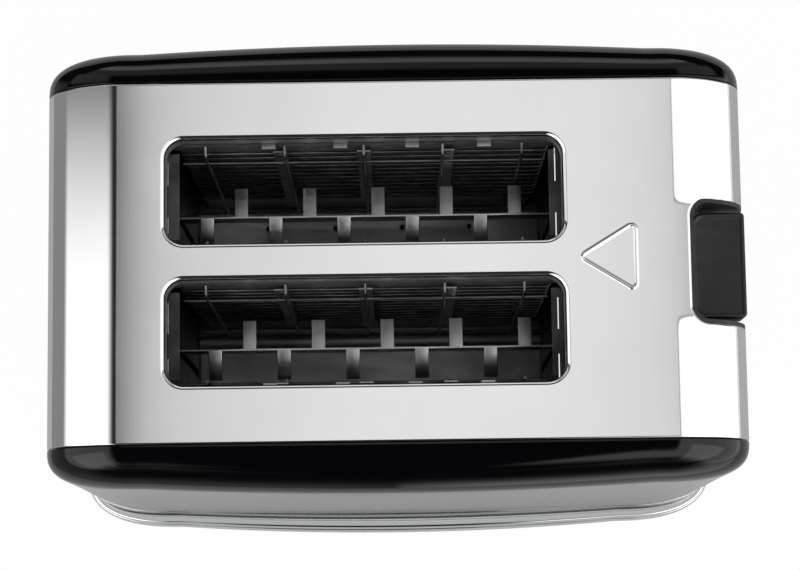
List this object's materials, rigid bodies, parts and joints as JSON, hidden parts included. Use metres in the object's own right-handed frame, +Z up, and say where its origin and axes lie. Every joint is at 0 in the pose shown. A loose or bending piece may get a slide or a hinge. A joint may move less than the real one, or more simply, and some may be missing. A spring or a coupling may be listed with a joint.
{
  "type": "toaster",
  "caption": "Pop-up toaster for two slices: polished steel top band, gloss black sides, flared chrome skirt, lever and controls at one end, slide-out crumb tray.",
  "frame": {"origin": "on the table plane under the middle of the body", "axes": "+X along the slots to the lever end, +Y to the rear side panel, +Z up"},
  "size_m": [0.267, 0.1832, 0.188],
  "materials": {
    "polished_steel": "polished",
    "chrome": "bright plated",
    "gloss_black": "gloss",
    "satin_black": "satin",
    "matte_black": "matte",
    "plated_sheet": "zinc plated",
    "bright_wire": "bright drawn",
    "mica": "laminated mica sheet",
    "heating_wire": "oxidised",
    "rubber": "matte",
    "resin_board": "solder mask",
    "control_case": "moulded",
    "copper": "enamelled copper",
    "soft_iron": "ground"
  },
  "bodies": {
    "shell": {"steel_band": "polished_steel", "base_skirt": "chrome", "rear_panel": "gloss_black", "front_panel": "gloss_black", "base_pan": "matte_black", "lever_housing": "matte_black", "cord_gland": "matte_black", "end_plate_left": "plated_sheet", "end_plate_right": "plated_sheet", "chamber_floor": "plated_sheet", "reflector_rear": "plated_sheet", "reflector_front": "plated_sheet", "centre_frame": "plated_sheet", "guide_rod": "bright_wire", "return_spring": "bright_wire", "case_screw_1": "bright_wire", "case_screw_2": "bright_wire", "case_screw_3": "bright_wire", "case_screw_4": "bright_wire", "element_rear_board": "mica", "element_rear_inner_board": "mica", "element_front_inner_board": "mica", "element_front_board": "mica", "element_rear_winding": "heating_wire", "element_rear_inner_winding": "heating_wire", "element_front_inner_winding": "heating_wire", "element_front_winding": "heating_wire", "foot_rear_right": "rubber", "foot_rear_left": "rubber", "foot_front_left": "rubber", "foot_front_right": "rubber", "circuit_board": "resin_board", "browning_control": "control_case", "magnet_coil": "copper", "magnet_core": "soft_iron"},
    "carriage": {"carriage_bracket": "plated_sheet", "carrier_rear": "plated_sheet", "carrier_front": "plated_sheet", "lever_arm": "plated_sheet", "lever_paddle": "satin_black", "armature": "soft_iron"},
    "tray": {"crumb_tray": "plated_sheet"},
    "dial": {"browning_dial": "satin_black", "dial_shaft": "bright_wire"},
    "guard_rear_back_body": {"guard_rear_back": "bright_wire"},
    "guard_rear_front_body": {"guard_rear_front": "bright_wire"},
    "guard_front_back_body": {"guard_front_back": "bright_wire"},
    "guard_front_front_body": {"guard_front_front": "bright_wire"},
    "button_cancel_body": {"button_cancel": "satin_black"},
    "button_reheat_body": {"button_reheat": "satin_black"},
    "button_defrost_body": {"button_defrost": "satin_black"}
  },
  "joints": [
    {"name": "lever_slide", "type": "slide", "parent": "shell", "child": "carriage", "axis": [0, 0, -1], "range_m": [0, 0.077], "stiffness_N_per_m": 120, "springref_m": -0.02, "deforming": ["return_spring"]},
    {"name": "tray_slide", "type": "slide", "parent": "shell", "child": "tray", "axis": [-1, 0, 0], "range_m": [0, 0.15]},
    {"name": "dial_turn", "type": "hinge", "parent": "shell", "child": "dial", "pos_m": [0.1286, -0.0016, 0.047], "axis": [1, 0, 0], "range_deg": [-135, 135]},
    {"name": "cancel_press", "type": "slide", "parent": "shell", "child": "button_cancel_body", "axis": [-1, 0, 0], "range_m": [0, 0.0015], "stiffness_N_per_m": 400, "springref_m": -0.001},
    {"name": "reheat_press", "type": "slide", "parent": "shell", "child": "button_reheat_body", "axis": [-1, 0, 0], "range_m": [0, 0.0015], "stiffness_N_per_m": 400, "springref_m": -0.001},
    {"name": "defrost_press", "type": "slide", "parent": "shell", "child": "button_defrost_body", "axis": [-1, 0, 0], "range_m": [0, 0.0015], "stiffness_N_per_m": 400, "springref_m": -0.001},
    {"name": "guard_rear_back_swing", "type": "hinge", "parent": "shell", "child": "guard_rear_back_body", "pos_m": [-0.0112, 0.0398, 0.0576], "axis": [1, 0, 0], "range_deg": [0, 4.2]},
    {"name": "guard_rear_front_swing", "type": "hinge", "parent": "shell", "child": "guard_rear_front_body", "pos_m": [-0.0112, 0.0096, 0.0576], "axis": [1, 0, 0], "range_deg": [-4.2, 0]},
    {"name": "guard_front_back_swing", "type": "hinge", "parent": "shell", "child": "guard_front_back_body", "pos_m": [-0.0112, -0.0114, 0.0576], "axis": [1, 0, 0], "range_deg": [0, 4.2]},
    {"name": "guard_front_front_swing", "type": "hinge", "parent": "shell", "child": "guard_front_front_body", "pos_m": [-0.0112, -0.0416, 0.0576], "axis": [1, 0, 0], "range_deg": [-4.2, 0]}
  ],
  "couplings": [
    {"joint": "guard_rear_back_swing", "follows": "lever_slide", "rad_per_m": 0.9},
    {"joint": "guard_rear_front_swing", "follows": "lever_slide", "rad_per_m": -0.9},
    {"joint": "guard_front_back_swing", "follows": "lever_slide", "rad_per_m": 0.9},
    {"joint": "guard_front_front_swing", "follows": "lever_slide", "rad_per_m": -0.9}
  ]
}
